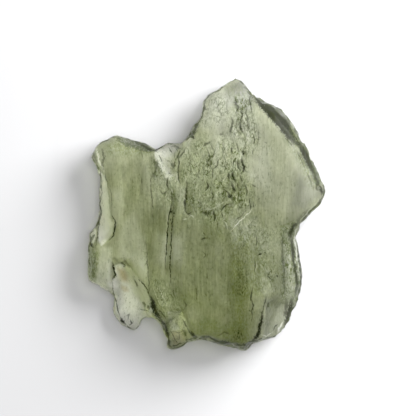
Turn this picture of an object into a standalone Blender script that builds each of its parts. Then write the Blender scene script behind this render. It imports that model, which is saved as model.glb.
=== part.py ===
# A flat broken piece of moldavite, the green natural glass thrown out by a meteorite impact.
# It lies on its underside: X runs across the piece, Y along it from foot to peak, Z up through it.
# Lengths below are in millimetres. The mesh itself is in metres.

import bmesh
import bpy
import numpy as np
from mathutils import Vector, noise

MM = 0.001

# Driving dimensions of the piece
LENGTH = 32.6  # from the foot to the peak, along Y
WIDTH = 28.4  # from the left side to the right corner, along X
HEIGHT = 7.2  # from the resting spot to the top of the main swell
REST_SPOT = (0.3, -1.8)  # lowest point of the underside, below the centre of mass
WORN = 0.1  # how much of the lowest point is worn flat to rest on
WORN_EDGE = 0.01  # what stands less than this over the worn flat is part of it
BELLY_X, BELLY_Y, BELLY_RISE = 13.0, 15.0, 1.0  # the underside rises this much at this reach

# Working sizes
SLAB = 2.0  # thickness of the blank that the piece is shaped from
BLANK_CELL = 0.26  # cell of the blank's surface
SKIN_CELL = 0.25  # cell of the shaped surface
MOST_TRIANGLES = 9400
EDGE_REACH = 0.9  # how far one stretch of edge blends into the next

# The outline seen from above, clockwise from the left shoulder, in stretches that broke alike.
# bevel is how far the upper face slopes before the edge, rim is the edge's low and high point.
EDGE = {
    "left_shoulder": {
        "bevel": 0.9, "rim": (1.5, 2.7),
        "points": [
            (-13.5, 6.3), (-13.9, 6.8), (-13.5, 7.6), (-13.1, 8.5), (-12.5, 8.7), (-11.7, 8.9),
            (-11.2, 9.3), (-10.7, 9.4), (-10.3, 9.3), (-9.1, 8.8), (-7.6, 8.5), (-6.7, 8.0),
        ],
    },
    "notch": {
        "bevel": 0.4, "rim": (1.6, 2.5),
        "points": [
            (-6.3, 7.7), (-5.8, 7.7), (-5.5, 8.0), (-4.7, 8.5), (-4.0, 8.5), (-3.3, 8.3), (-2.8, 8.5),
        ],
    },
    "peak_flank": {
        "bevel": 0.5, "rim": (1.3, 2.7),
        "points": [
            (-2.3, 9.2), (-2.0, 9.4), (-1.9, 9.8), (-1.3, 10.9), (-0.5, 11.9), (-0.4, 12.5),
            (-0.4, 13.3), (-0.2, 13.7),
        ],
    },
    "peak": {
        "bevel": 0.7, "rim": (1.5, 2.4),
        "points": [
            (0.2, 14.2), (0.8, 14.6), (1.5, 14.9), (1.9, 15.4), (2.3, 15.8), (2.9, 16.1),
            (3.5, 16.3), (4.0, 16.1), (4.5, 15.5), (5.1, 14.8),
        ],
    },
    "long_bevel": {
        "bevel": 1.5, "rim": (0.9, 1.8),
        "points": [
            (5.7, 14.3), (6.9, 13.6), (7.9, 13.1), (8.7, 12.8), (9.2, 12.3), (9.7, 11.6),
            (10.1, 11.1), (11.2, 9.4), (11.6, 8.7), (12.1, 7.9), (12.5, 6.8), (13.0, 5.9),
            (13.4, 5.2), (13.5, 4.6),
        ],
    },
    "corner": {
        "bevel": 0.5, "rim": (1.3, 2.4),
        "points": [(13.7, 3.9), (14.1, 3.4), (14.2, 2.8), (14.0, 2.1), (13.7, 1.5)],
    },
    "right_hollow": {
        "bevel": 1.0, "rim": (1.1, 2.2),
        "points": [(13.3, 1.0), (12.5, 0.4), (11.7, -0.7), (11.2, -1.0), (11.1, -1.6), (10.7, -2.8)],
    },
    "right_side": {
        "bevel": 1.8, "rim": (1.1, 2.3),
        "points": [
            (10.9, -3.9), (11.1, -5.2), (11.3, -6.7), (11.5, -7.7), (11.2, -8.9), (11.0, -10.0),
            (10.3, -11.6), (9.9, -12.5),
        ],
    },
    "lower_right": {
        "bevel": 0.5, "rim": (1.4, 2.4),
        "points": [(9.5, -13.4), (8.9, -13.9), (8.7, -14.3), (8.0, -14.7), (7.1, -14.9), (6.4, -15.1)],
    },
    "foot": {
        "bevel": 0.9, "rim": (1.2, 3.0),
        "points": [
            (5.8, -15.3), (5.3, -15.5), (5.0, -16.0), (4.5, -16.3), (4.0, -16.1), (3.3, -15.9),
            (2.5, -15.7), (1.5, -15.5), (0.8, -15.2), (-0.1, -14.9), (-1.1, -14.9),
        ],
    },
    "foot_window": {
        "bevel": 0.5, "rim": (1.4, 2.8),
        "points": [
            (-1.9, -15.1), (-2.5, -15.4), (-3.1, -15.8), (-3.8, -16.0), (-4.4, -16.3), (-4.7, -15.9),
            (-4.7, -15.2), (-5.0, -14.3),
        ],
    },
    "scoop_lobe": {
        "bevel": 0.4, "rim": (1.2, 1.9),
        "points": [
            (-5.2, -13.6), (-5.6, -12.9), (-6.1, -12.5), (-6.5, -12.2), (-7.1, -12.3), (-7.7, -12.5),
            (-8.1, -12.8), (-8.1, -13.3), (-8.3, -13.6), (-8.9, -14.0), (-9.5, -13.7), (-10.0, -13.3),
            (-10.5, -12.9), (-10.9, -12.2), (-11.2, -11.5), (-11.2, -10.9), (-11.0, -10.3), (-11.0, -9.8),
        ],
    },
    "lower_left": {
        "bevel": 0.6, "rim": (1.3, 2.4),
        "points": [(-11.5, -9.3), (-12.1, -8.9), (-12.8, -8.6), (-13.5, -8.1), (-14.1, -7.9)],
    },
    "left_side": {
        "bevel": 1.1, "rim": (1.1, 2.2),
        "points": [
            (-14.2, -6.9), (-14.2, -5.8), (-14.1, -4.7), (-14.2, -3.8), (-14.2, -3.1), (-14.0, -2.2),
            (-13.6, -1.7), (-13.1, -1.1),
        ],
    },
    "left_strip": {
        "bevel": 0.6, "rim": (1.3, 2.5),
        "points": [(-12.9, -0.1), (-12.9, 1.1), (-12.8, 3.2), (-12.9, 4.1), (-12.9, 5.1), (-13.1, 5.7)],
    },
}

# Height of the upper face over the resting surface at named places, blended into one swell
FACE = {
    "peak_tip": (3.4, 15.2, 3.3),
    "peak_middle": (3.1, 12.3, 4.2),
    "peak_left": (0.2, 11.3, 3.8),
    "wrinkle_top": (4.0, 10.7, 4.6),
    "centre_top": (1.0, 6.5, 5.3),
    "wrinkle_middle": (4.0, 5.3, 5.2),
    "notch_right": (-2.0, 5.9, 4.7),
    "right_smooth": (8.8, 6.5, 4.2),
    "right_shoulder": (12.5, 2.9, 3.4),
    "right_low": (9.4, 0.5, 4.4),
    "left_shoulder": (-10.6, 8.0, 4.3),
    "left_panel": (-9.2, 2.9, 4.8),
    "left_middle": (-9.8, -2.5, 4.6),
    "lower_left": (-12.3, -5.7, 3.7),
    "centre": (-2.6, -0.7, 5.9),
    "left_of_centre": (-5.2, -8.5, 5.9),
    "main_swell": (-0.5, -8.0, 6.7),
    "dark_band": (4.2, -9.0, HEIGHT),
    "right_of_band": (7.6, -6.6, 5.6),
    "right_slope": (10.2, -7.0, 3.9),
    "foot_tip": (4.4, -14.8, 5.4),
    "foot_middle": (0.4, -13.3, 6.3),
}
FACE_REACH = 2.3

# Scoops and ledges let into the upper face: outline, height of the floor, width of the wall around it
HOLLOWS = {
    "lobe_scoop": {
        "floor": 2.0, "wall": 0.9,
        "points": [
            (-11.2, -5.7), (-10.1, -5.3), (-9.1, -5.9), (-8.5, -7.1), (-8.0, -8.0), (-7.3, -9.1),
            (-6.9, -10.3), (-6.7, -11.8), (-6.2, -13.2), (-8.0, -15.6), (-12.2, -15.6), (-12.2, -10.3),
            (-11.3, -9.2),
        ],
    },
    "notch_window": {
        "floor": 2.7, "wall": 0.8,
        "points": [
            (-6.2, 8.0), (-5.3, 8.9), (-2.7, 8.9), (-2.7, 7.7), (-3.2, 6.8), (-3.4, 5.1),
            (-4.1, 4.4), (-5.0, 5.1), (-5.6, 5.9), (-5.9, 6.8),
        ],
    },
    "foot_window": {
        "floor": 3.3, "wall": 1.5,
        "points": [
            (-4.6, -11.2), (-2.7, -11.3), (-2.1, -12.7), (-1.5, -14.5), (-0.9, -17.5), (-6.5, -17.5),
            (-5.6, -13.2),
        ],
    },
    "lower_right_window": {
        "floor": 2.9, "wall": 1.9,
        "points": [(6.2, -17.0), (6.4, -12.4), (6.9, -9.9), (9.0, -8.9), (13.0, -9.5), (13.0, -17.0)],
    },
    "left_ledge": {
        "floor": 3.2, "wall": 0.5,
        "points": [
            (-13.1, 5.9), (-12.4, 5.8), (-11.9, 4.4), (-11.6, 2.3), (-11.5, 0.3), (-11.1, -1.3),
            (-11.3, -2.3), (-11.9, -3.2), (-12.9, -3.5), (-13.6, -2.8), (-13.3, -0.1),
        ],
    },
    "chip": {
        "floor": 2.2, "wall": 0.35,
        "points": [(-14.3, -2.9), (-13.9, -3.5), (-13.3, -2.6), (-13.0, -1.4), (-13.8, -1.2)],
    },
}

# Furrows and ridges along a line: points, half width and depth, where a negative depth is a ridge
FURROWS = {
    "lobe_crack": {"half": 0.35, "depth": 1.3, "points": [(-11.2, -5.8), (-11.2, -6.9), (-11.2, -7.9)]},
    "lobe_wall_foot": {
        "half": 0.35, "depth": 0.5,
        "points": [(-8.1, -8.0), (-7.2, -9.1), (-6.8, -10.4), (-6.4, -12.0)],
    },
    "dark_wedge": {
        "half": 0.55, "depth": 0.9,
        "points": [(-6.9, -9.4), (-6.5, -10.6), (-6.0, -11.8), (-5.0, -12.9), (-4.8, -14.2)],
    },
    "left_long_line": {"half": 0.3, "depth": 0.3, "points": [(-7.2, -3.6), (-7.1, -6.5), (-7.0, -9.4)]},
    "twin_line": {
        "half": 0.32, "depth": 0.35,
        "points": [(-4.2, 2.3), (-4.4, -0.3), (-4.7, -3.6), (-4.9, -7.0)],
    },
    "short_line": {"half": 0.35, "depth": 0.4, "points": [(-2.5, 3.3), (-2.6, 0.2)]},
    "notch_line": {"half": 0.32, "depth": 0.35, "points": [(-2.9, 8.0), (-3.3, 6.6), (-3.3, 3.9)]},
    "ledge_line": {
        "half": 0.28, "depth": 0.35,
        "points": [(-12.3, 5.8), (-11.9, 4.2), (-11.6, 1.9), (-11.1, -0.8), (-11.3, -2.0), (-11.9, -3.1)],
    },
    "hackle": {
        "half": 0.4, "depth": -0.3,
        "points": [(-1.2, 0.8), (1.0, 0.9), (3.0, 1.7), (4.6, 3.1), (5.2, 4.3)],
    },
    "scratch_ridge": {"half": 0.3, "depth": -0.22, "points": [(5.4, 0.6), (4.2, -0.7), (3.2, -1.9)]},
    "window_ridge": {
        "half": 0.35, "depth": -0.35,
        "points": [(7.0, -9.5), (6.6, -11.5), (6.3, -13.2), (6.0, -14.8)],
    },
    "side_groove_inner": {
        "half": 0.4, "depth": 0.45,
        "points": [(9.9, -2.0), (9.6, -4.0), (9.8, -6.5), (9.9, -8.6)],
    },
    "side_groove_outer": {
        "half": 0.35, "depth": 0.4,
        "points": [(10.4, -2.4), (10.5, -5.0), (10.8, -7.4), (10.5, -9.8)],
    },
}

# Patches of the upper face that are wrinkled into small cups: middle, reach across, reach along, depth
WRINKLES = {
    "peak_band": ((4.1, 12.6), 1.2, 2.4, 0.42),
    "upper_band": ((3.9, 7.8), 1.4, 2.6, 0.45),
    "middle_band": ((3.1, 3.6), 1.6, 2.6, 0.42),
    "upper_centre": ((0.6, 6.0), 2.2, 3.0, 0.30),
    "centre": ((0.2, 1.2), 3.0, 2.0, 0.26),
    "notch_rough": ((-4.4, 6.9), 1.6, 1.8, 0.25),
}
WRINKLE_CUP = (0.85, 1.5)  # width and length of one cup
FLUTE = {"across": 1.25, "along": 11.0, "height": 0.13}  # long shallow flutes of the flow lines
CUP = {"size": (2.1, 3.3, 1.0), "depth": 0.38}  # cups etched into the underside
SIDE_CUP = {"size": (1.5, 1.5, 2.6), "depth": 0.22}  # cups drawn out upwards on the broken sides
GRAIN = {"size": 0.8, "height": 0.06}  # unevenness all over

# Broad shells broken out of the underside: middle, reach across, reach along, depth
SHELLS = {
    "under_peak": ((3.6, 12.0), 3.4, 3.8, 0.75),
    "under_right": ((9.0, 3.5), 3.6, 4.6, 0.55),
    "under_left": ((-11.0, 3.8), 2.6, 4.2, 0.6),
    "under_foot": ((6.0, -13.0), 4.4, 2.6, 0.7),
    "under_lower_left": ((-10.5, -6.5), 3.2, 3.0, 0.45),
}


def smoothstep(low, high, x):
    t = np.clip((x - low) / (high - low), 0.0, 1.0)
    return t * t * (3.0 - 2.0 * t)


def line_distance(xy, points, closed=False):
    """Distance from each point to a line through the given points."""
    line = np.array(points + points[:1] if closed else points)
    start, step = line[:-1], np.diff(line, axis=0)
    offset = xy[:, None, :] - start[None]
    along = np.clip((offset * step).sum(2) / (step * step).sum(1), 0.0, 1.0)
    return np.linalg.norm(offset - along[:, :, None] * step, axis=2).min(1)


def inside(xy, points):
    """True for each point that lies inside the closed outline."""
    line = np.array(points)
    following = np.roll(line, -1, axis=0)
    x, y = xy[:, :1], xy[:, 1:]
    crosses = (line[:, 1] > y) != (following[:, 1] > y)
    rise = following[:, 1] - line[:, 1]
    rise = np.where(np.abs(rise) < 1e-9, 1e-9, rise)
    at = line[:, 0] + (y - line[:, 1]) / rise * (following[:, 0] - line[:, 0])
    return (crosses & (x < at)).sum(1) % 2 == 1


def blended(xy, places, values, reach):
    """Values held at places, averaged with weights that fall off over the reach."""
    away = ((xy[:, None, :] - places[None]) ** 2).sum(2)
    nearest = away.min(1, keepdims=True)
    weight = np.exp((nearest - away) / (2.0 * reach * reach))
    return (weight @ values) / weight.sum(1)[:, None]


def cells(points, size):
    """How deep each point lies in a cup of a cell pattern: 0 on the ridge between cups, 1 inside."""
    found = np.empty(len(points))
    for i, p in enumerate(points / np.array(size)):
        near, second = noise.voronoi(Vector(p))[0][:2]
        found[i] = second - near
    return smoothstep(0.0, 0.55, found)


def waves(points, size):
    """Smooth unevenness from -1 to 1, with features of the given size."""
    return np.array([noise.noise(Vector(p)) for p in points / np.array(size)])


def edge_values(xy):
    """Bevel width and the rim's low and high point near each point."""
    places, values = [], []
    for stretch in EDGE.values():
        for point in stretch["points"]:
            places.append(point)
            values.append((stretch["bevel"], *stretch["rim"]))
    return blended(xy, np.array(places), np.array(values), EDGE_REACH).T


def outline():
    return [point for stretch in EDGE.values() for point in stretch["points"]]


def upper_face(xy):
    """Height of the upper face, with its ledges, scoops, furrows and wrinkles but without its rim."""
    spots = np.array(list(FACE.values()))
    height = blended(xy, spots[:, :2], spots[:, 2:], FACE_REACH)[:, 0]
    flat = np.column_stack([xy, np.zeros(len(xy))])
    height += FLUTE["height"] * waves(flat, (FLUTE["across"], FLUTE["along"], 1.0))
    cups = cells(flat, (*WRINKLE_CUP, 1.0))
    wrinkled = np.zeros(len(xy))
    for (x, y), across, along, depth in WRINKLES.values():
        away = ((xy[:, 0] - x) / across) ** 2 + ((xy[:, 1] - y) / along) ** 2
        wrinkled = np.maximum(wrinkled, depth * np.exp(-away))
    height -= wrinkled * cups
    for hollow in HOLLOWS.values():
        depth_in = line_distance(xy, hollow["points"], closed=True)
        share = smoothstep(0.0, hollow["wall"], np.where(inside(xy, hollow["points"]), depth_in, 0.0))
        height += share * np.minimum(hollow["floor"] - height, 0.0)
    for furrow in FURROWS.values():
        away = line_distance(xy, furrow["points"]) / furrow["half"]
        height -= furrow["depth"] * np.exp(-away * away)
    return height


def lower_face(xy):
    """Height of the underside: a shallow belly with broken shells and etched cups."""
    x, y = xy[:, 0] - REST_SPOT[0], xy[:, 1] - REST_SPOT[1]
    belly = BELLY_RISE * ((x / BELLY_X) ** 2 + (y / BELLY_Y) ** 2)
    for (across_at, along_at), across, along, depth in SHELLS.values():
        away = ((xy[:, 0] - across_at) / across) ** 2 + ((xy[:, 1] - along_at) / along) ** 2
        belly += depth * np.clip(1.0 - away, 0.0, 1.0) ** 0.7
    flat = np.column_stack([xy, np.full(len(xy), 7.3)])
    return belly + CUP["depth"] * cells(flat, CUP["size"]) * smoothstep(0.0, 0.3, belly)


def mesh_of(obj):
    """The object's mesh with its modifiers worked in. The object itself is removed."""
    graph = bpy.context.evaluated_depsgraph_get()
    mesh = bpy.data.meshes.new_from_object(obj.evaluated_get(graph))
    bpy.data.objects.remove(obj)
    return mesh


def shown(name, data):
    obj = bpy.data.objects.new(name, data)
    bpy.context.scene.collection.objects.link(obj)
    return obj


def blank():
    """A slab with the piece's outline, as a closed mesh."""
    curve = bpy.data.curves.new("outline", "CURVE")
    curve.dimensions = "2D"
    curve.fill_mode = "BOTH"
    curve.extrude = SLAB * MM / 2.0
    spline = curve.splines.new("POLY")
    points = outline()
    spline.points.add(len(points) - 1)
    for point, (x, y) in zip(spline.points, points):
        point.co = (x * MM, y * MM, 0.0, 1.0)
    spline.use_cyclic_u = True
    mesh = mesh_of(shown("blank", curve))
    shape = bmesh.new()
    shape.from_mesh(mesh)
    bmesh.ops.remove_doubles(shape, verts=shape.verts, dist=0.01 * MM)
    bmesh.ops.recalc_face_normals(shape, faces=shape.faces)
    shape.to_mesh(mesh)
    shape.free()
    return mesh


def reskinned(mesh, cell):
    """The same solid with an even surface of small cells."""
    obj = shown("skin", mesh)
    skin = obj.modifiers.new("Skin", "REMESH")
    skin.mode = "VOXEL"
    skin.voxel_size = cell * MM
    return mesh_of(obj)


def positions(mesh):
    found = np.empty(len(mesh.vertices) * 3)
    mesh.vertices.foreach_get("co", found)
    return found.reshape(-1, 3) / MM


def place(mesh, points):
    mesh.vertices.foreach_set("co", (points * MM).ravel())
    mesh.update()


def shape_faces(mesh):
    """Moves the slab's two faces to the heights of the piece, rounded down to the rim at the edge."""
    points = positions(mesh)
    xy = points[:, :2]
    bevel, rim_low, rim_high = edge_values(xy)
    depth_in = np.where(inside(xy, outline()), line_distance(xy, outline(), closed=True), 0.0)
    upper_share = np.sqrt(1.0 - (1.0 - np.clip(depth_in / bevel, 0.0, 1.0)) ** 1.6)
    lower_share = np.sqrt(1.0 - (1.0 - np.clip(depth_in / 2.2, 0.0, 1.0)) ** 2)
    upper = rim_high + (upper_face(xy) - rim_high) * upper_share
    lower = rim_low + (lower_face(xy) - rim_low) * lower_share
    through = np.clip(points[:, 2] / SLAB + 0.5, 0.0, 1.0)
    points[:, 2] = lower + through * (np.maximum(upper, lower + 0.8) - lower)
    place(mesh, points)


def etch_skin(mesh):
    """Etches the sides with small cups, leaves the surface slightly uneven and wears the lowest point flat."""
    points = positions(mesh)
    normals = np.array([v.normal for v in mesh.vertices])
    side = smoothstep(0.35, 0.8, 1.0 - np.abs(normals[:, 2]))
    push = GRAIN["height"] * waves(points, GRAIN["size"])
    push += side * SIDE_CUP["depth"] * (0.5 - cells(points, SIDE_CUP["size"]))
    points += normals * push[:, None]
    points[:, 2] = np.maximum(points[:, 2], WORN)
    place(mesh, points)


def thinned(mesh):
    """The same solid with few enough triangles."""
    obj = shown("thin", mesh)
    fewer = obj.modifiers.new("Fewer", "DECIMATE")
    mesh.calc_loop_triangles()
    fewer.ratio = MOST_TRIANGLES / len(mesh.loop_triangles)
    fewer.use_collapse_triangulate = True
    return mesh_of(obj)


def settle(mesh):
    """Sets the piece to its length, width and height, and puts its resting spot on the origin's plane."""
    points = positions(mesh)
    points[points[:, 2] < WORN + WORN_EDGE, 2] = WORN
    low, high = points.min(0), points.max(0)
    middle = np.array([(low[0] + high[0]) / 2.0, (low[1] + high[1]) / 2.0, low[2]])
    scale = np.array([WIDTH, LENGTH, HEIGHT]) / (high - low)
    place(mesh, (points - middle) * scale)


def glass():
    material = bpy.data.materials.new("moldavite_glass")
    material.use_nodes = True
    shader = material.node_tree.nodes["Principled BSDF"]
    shader.inputs["Base Color"].default_value = (0.30, 0.34, 0.17, 1.0)
    shader.inputs["Roughness"].default_value = 0.3
    shader.inputs["Metallic"].default_value = 0.0
    shader.inputs["IOR"].default_value = 1.49
    return material


def main():
    for obj in list(bpy.data.objects):
        bpy.data.objects.remove(obj)
    mesh = reskinned(blank(), BLANK_CELL)
    shape_faces(mesh)
    mesh = reskinned(mesh, SKIN_CELL)
    etch_skin(mesh)
    mesh = thinned(mesh)
    settle(mesh)
    mesh.name = "moldavite"
    mesh.materials.clear()
    mesh.materials.append(glass())
    group = bpy.data.collections.new("moldavite")
    bpy.context.scene.collection.children.link(group)
    group.objects.link(bpy.data.objects.new("moldavite", mesh))


main()
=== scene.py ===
import bmesh
import bpy
import numpy as np
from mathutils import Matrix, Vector, bvhtree, kdtree, noise


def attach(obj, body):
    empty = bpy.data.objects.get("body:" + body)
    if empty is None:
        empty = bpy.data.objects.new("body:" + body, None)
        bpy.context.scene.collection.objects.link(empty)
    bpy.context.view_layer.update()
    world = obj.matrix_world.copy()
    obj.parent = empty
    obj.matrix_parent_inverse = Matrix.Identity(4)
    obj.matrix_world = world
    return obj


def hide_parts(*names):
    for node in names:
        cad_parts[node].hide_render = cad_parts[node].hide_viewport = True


mm = 0.001

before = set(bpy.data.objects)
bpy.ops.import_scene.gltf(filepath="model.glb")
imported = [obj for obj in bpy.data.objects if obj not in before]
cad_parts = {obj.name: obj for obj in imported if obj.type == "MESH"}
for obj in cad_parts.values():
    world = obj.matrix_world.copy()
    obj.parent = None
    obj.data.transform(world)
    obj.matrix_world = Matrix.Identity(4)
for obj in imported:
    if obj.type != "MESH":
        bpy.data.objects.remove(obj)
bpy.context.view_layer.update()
print("frame loaded")


# the shot: straight down on the stone, from far enough away that it hardly spreads
shot = {
    "lookAt": (0.18, 0.78, 2.0),  # mm
    "frameWidth": 49.92,  # mm of table across the picture
    "pixels": 416,  # across the picture
    "lens": 300.0,
    "sensor": 36.0,
    "clipStart": 5.0,  # mm
}


def placed(name, data):
    obj = bpy.data.objects.new(name, data)
    bpy.context.scene.collection.objects.link(obj)
    return obj


def cameraDistance():
    return shot["frameWidth"] * shot["lens"] / shot["sensor"]


def makeCamera():
    camData = bpy.data.cameras.new("camera")
    camData.lens = shot["lens"]
    camData.sensor_width = shot["sensor"]
    camData.clip_start = shot["clipStart"] * mm
    camera = placed("camera", camData)
    x, y, z = shot["lookAt"]
    camera.location = (x * mm, y * mm, (z + cameraDistance()) * mm)
    bpy.context.scene.camera = camera


# places and sizes in mm, power in watts
studio = {
    "key": {"place": (128.0, 86.0, 84.0), "size": 145.0, "power": 1.56},  # up and to the right
    "top": {"place": (20.0, 10.0, 260.0), "size": 160.0, "power": 0.55},
    "fill": 0.68,  # evenly from all round
    "fillColour": (1.0, 1.0, 1.0),
}


def makeLamp(name, values):
    lampData = bpy.data.lights.new(name, "AREA")
    lampData.shape = "DISK"
    lampData.size = values["size"] * mm
    lampData.energy = values["power"]
    lamp = placed(name, lampData)
    place = Vector(values["place"]) * mm
    lamp.location = place
    lamp.rotation_euler = place.to_track_quat("Z", "Y").to_euler()
    lamp.visible_camera = False


def makeLight():
    makeLamp("key", studio["key"])
    makeLamp("top", studio["top"])
    world = bpy.data.worlds.new("studio")
    world.use_nodes = True
    background = world.node_tree.nodes["Background"]
    background.inputs["Color"].default_value = (*studio["fillColour"], 1.0)
    background.inputs["Strength"].default_value = studio["fill"]
    bpy.context.scene.world = world
    bpy.context.scene.view_settings.view_transform = "Standard"


def smooth(low, high, x):
    t = np.clip((x - low) / (high - low), 0.0, 1.0)
    return t * t * (3.0 - 2.0 * t)


# where a mix node of colours has its two inputs and its output
mixInputs = (6, 7)
mixOutput = 2


def link(tree, source, target):
    tree.links.new(source, target)


def mask(tree, name):
    node = tree.nodes.new("ShaderNodeAttribute")
    node.attribute_name = name
    return node.outputs["Fac"]


# the first colour where the factor is 0, the second where it is 1
def mixed(tree, factor, first, second, blend="MIX"):
    node = tree.nodes.new("ShaderNodeMix")
    node.data_type = "RGBA"
    node.blend_type = blend
    link(tree, factor, node.inputs["Factor"])
    for value, place in zip((first, second), mixInputs):
        if isinstance(value, tuple):
            node.inputs[place].default_value = (*value, 1.0)
        else:
            link(tree, value, node.inputs[place])
    return node.outputs[mixOutput]


floor = {
    "paper": (0.312, 0.312, 0.316),
    # painted light: the white laid under the stone, which shines up through the glass
    "paintedGlow": (0.99, 0.99, 0.99),
    "rough": 0.9,
    "shine": 0.1,
    "half": 1200.0,  # mm, half the paper's width
    "depth": 0.03,  # mm below the stone
    "paintedGlowHalf": 18.0,  # mm
    "paintedGlowCells": 120,  # squares across the card
    "paintedGlowDepth": 0.02,  # mm below the stone
    "paintedGlowFade": (0.5, 1.7),  # mm in from the stone's outline: where the painted light's white begins and is full
    "rayStart": 5.0,  # mm below, where the rays that look for the stone start
}


def makePaper():
    paper = bpy.data.materials.new("palePaper")
    paper.use_nodes = True
    tree = paper.node_tree
    shader = tree.nodes["Principled BSDF"]
    shader.inputs["Roughness"].default_value = floor["rough"]
    shader.inputs["Specular IOR Level"].default_value = floor["shine"]
    # painted light: the paper is painted white where it lies under the stone
    tone = mixed(tree, mask(tree, "under"), floor["paper"], floor["paintedGlow"])
    link(tree, tone, shader.inputs["Base Color"])
    return paper


# a flat square of paper, in mm
def makeSheet(name, half, cells, depth, paper):
    bm = bmesh.new()
    bmesh.ops.create_grid(bm, x_segments=cells, y_segments=cells, size=half * mm)
    bmesh.ops.translate(bm, verts=bm.verts, vec=(0.0, 0.0, -depth * mm))
    mesh = bpy.data.meshes.new(name)
    bm.to_mesh(mesh)
    bm.free()
    mesh.materials.append(paper)
    sheet = placed(name, mesh)
    return sheet


def treeOf(places):
    tree = kdtree.KDTree(len(places))
    for row, place in enumerate(places):
        tree.insert(place, row)
    tree.balance()
    return tree


# paper, and a sheet painted white under the stone, which fades out short of its edge: painted light that
# shines up through the glass
def makeFloor():
    paper = makePaper()
    makeSheet("floor", floor["half"], 1, floor["depth"], paper)
    paintedGlow = makeSheet("paintedGlow", floor["paintedGlowHalf"], floor["paintedGlowCells"], floor["paintedGlowDepth"], paper)
    above = bvhtree.BVHTree.FromObject(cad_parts["moldavite"], bpy.context.evaluated_depsgraph_get())
    below = Vector((0.0, 0.0, -floor["rayStart"] * mm))
    up = Vector((0.0, 0.0, 1.0))
    spots = [vert.co.copy() for vert in paintedGlow.data.vertices]
    bare = treeOf([spot for spot in spots if above.ray_cast(spot + below, up)[0] is None])
    inside = np.array([bare.find(spot)[2] for spot in spots]) / mm
    layer = paintedGlow.data.attributes.new("under", "FLOAT", "POINT")
    layer.data.foreach_set("value", smooth(*floor["paintedGlowFade"], inside))


makeCamera()
makeLight()
makeFloor()
print("camera, light and floor made")
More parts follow.
